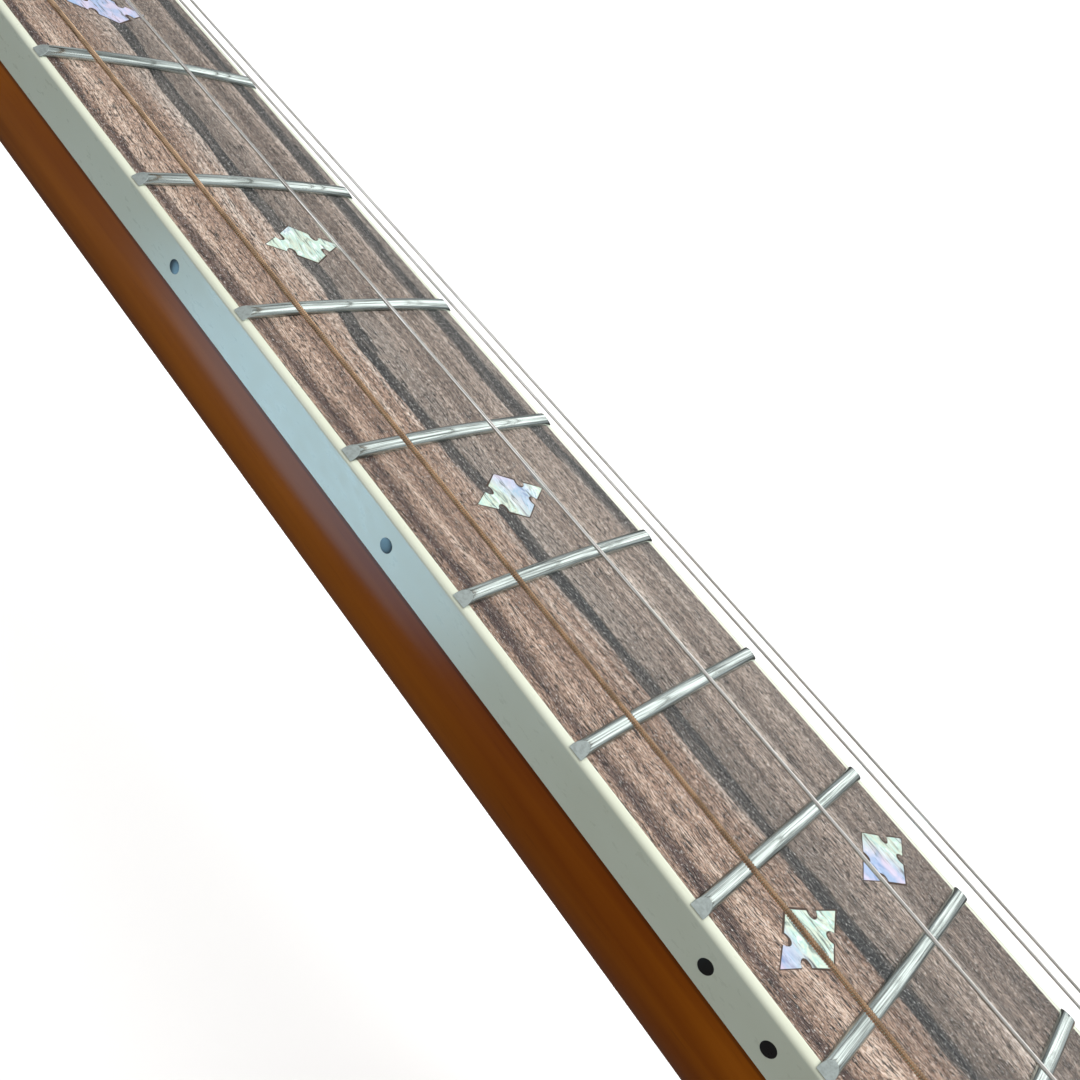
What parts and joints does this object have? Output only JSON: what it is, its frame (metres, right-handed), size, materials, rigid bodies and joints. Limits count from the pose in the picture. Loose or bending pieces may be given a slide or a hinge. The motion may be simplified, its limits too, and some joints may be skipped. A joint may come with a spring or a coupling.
{
  "type": "resonator guitar",
  "caption": "Resonator guitar: wooden body with a metal cone, spider bridge and coverplate, slim bound neck with frets, paired treble strings and geared tuners.",
  "frame": {"origin": "bottom centre of the bounding box of the instrument lying on its flat back", "axes": "+X from the headstock to the tail, +Y to the treble side, +Z out of the top towards the strings"},
  "size_m": [1.035, 0.374, 0.1082],
  "materials": {
    "amber_wood": "satin-gloss amber-brown lacquer",
    "pale_wood": "bare maple and plywood",
    "rosewood": "open-pored striped hardwood, oiled",
    "ebony": "gloss black-brown veneer",
    "cream_plastic": "aged cream binding, lacquered",
    "tuner_button": "cream plastic on a nickel-plated shaft",
    "nickel": "nickel plate",
    "fret_nickel": "polished nickel silver with file marks",
    "aluminium": "spun and cast aluminium",
    "steel": "plain steel",
    "steel_string": "plain drawn steel wire",
    "bronze_string": "bronze round winding"
  },
  "bodies": {
    "guitar": {"body_top": "amber_wood", "body_sides": "amber_wood", "body_back": "amber_wood", "top_binding": "cream_plastic", "back_binding": "cream_plastic", "neck_block": "pale_wood", "tail_block": "pale_wood", "bass_sound_hole_screen": "nickel", "treble_sound_hole_screen": "nickel", "soundwell": "pale_wood", "resonator_cone": "aluminium", "spider_bridge": "aluminium", "saddle": "pale_wood", "tension_screw": "steel", "coverplate": "nickel", "hand_rest": "nickel", "tailpiece": "nickel", "strap_button": "nickel", "neck": "amber_wood", "truss_rod": "steel", "headstock_veneer": "ebony", "truss_rod_cover": "cream_plastic", "fretboard": "rosewood", "fretboard_binding": "cream_plastic", "nut": "cream_plastic", "fret_01": "fret_nickel", "fret_02": "fret_nickel", "fret_03": "fret_nickel", "fret_04": "fret_nickel", "fret_05": "fret_nickel", "fret_06": "fret_nickel", "fret_07": "fret_nickel", "fret_08": "fret_nickel", "fret_09": "fret_nickel", "fret_10": "fret_nickel", "fret_11": "fret_nickel", "fret_12": "fret_nickel", "fret_13": "fret_nickel", "fret_14": "fret_nickel", "fret_15": "fret_nickel", "fret_16": "fret_nickel", "fret_17": "fret_nickel", "fret_18": "fret_nickel", "fret_19": "fret_nickel", "string_1": "bronze_string", "string_2": "steel_string", "string_3": "steel_string", "string_4": "steel_string", "tuner_plate_1": "nickel", "tuner_plate_2": "nickel", "tuner_plate_3": "nickel", "tuner_plate_4": "nickel"},
    "button_1": {"tuner_button_1": "tuner_button"},
    "post_1": {"tuner_post_1": "nickel"},
    "button_2": {"tuner_button_2": "tuner_button"},
    "post_2": {"tuner_post_2": "nickel"},
    "button_3": {"tuner_button_3": "tuner_button"},
    "post_3": {"tuner_post_3": "nickel"},
    "button_4": {"tuner_button_4": "tuner_button"},
    "post_4": {"tuner_post_4": "nickel"}
  },
  "joints": [
    {"name": "tuner_button_1_turn", "type": "hinge", "parent": "guitar", "child": "button_1", "pos_m": [-0.39159, -0.02, 0.06127], "axis": [0, 1, 0], "continuous": true},
    {"name": "tuner_post_1_turn", "type": "hinge", "parent": "guitar", "child": "post_1", "pos_m": [-0.40337, -0.02, 0.0803], "axis": [-0.225, 0, 0.9744], "continuous": true},
    {"name": "tuner_button_2_turn", "type": "hinge", "parent": "guitar", "child": "button_2", "pos_m": [-0.44226, -0.02, 0.04957], "axis": [0, 1, 0], "continuous": true},
    {"name": "tuner_post_2_turn", "type": "hinge", "parent": "guitar", "child": "post_2", "pos_m": [-0.45404, -0.02, 0.0686], "axis": [-0.225, 0, 0.9744], "continuous": true},
    {"name": "tuner_button_3_turn", "type": "hinge", "parent": "guitar", "child": "button_3", "pos_m": [-0.44226, 0.02, 0.04957], "axis": [0, 1, 0], "continuous": true},
    {"name": "tuner_post_3_turn", "type": "hinge", "parent": "guitar", "child": "post_3", "pos_m": [-0.45404, 0.02, 0.0686], "axis": [-0.225, 0, 0.9744], "continuous": true},
    {"name": "tuner_button_4_turn", "type": "hinge", "parent": "guitar", "child": "button_4", "pos_m": [-0.39159, 0.02, 0.06127], "axis": [0, 1, 0], "continuous": true},
    {"name": "tuner_post_4_turn", "type": "hinge", "parent": "guitar", "child": "post_4", "pos_m": [-0.40337, 0.02, 0.0803], "axis": [-0.225, 0, 0.9744], "continuous": true}
  ],
  "couplings": [
    {"joint": "tuner_button_1_turn", "follows": "tuner_post_1_turn", "ratio": -14},
    {"joint": "tuner_button_2_turn", "follows": "tuner_post_2_turn", "ratio": -14},
    {"joint": "tuner_button_3_turn", "follows": "tuner_post_3_turn", "ratio": -14},
    {"joint": "tuner_button_4_turn", "follows": "tuner_post_4_turn", "ratio": -14}
  ]
}
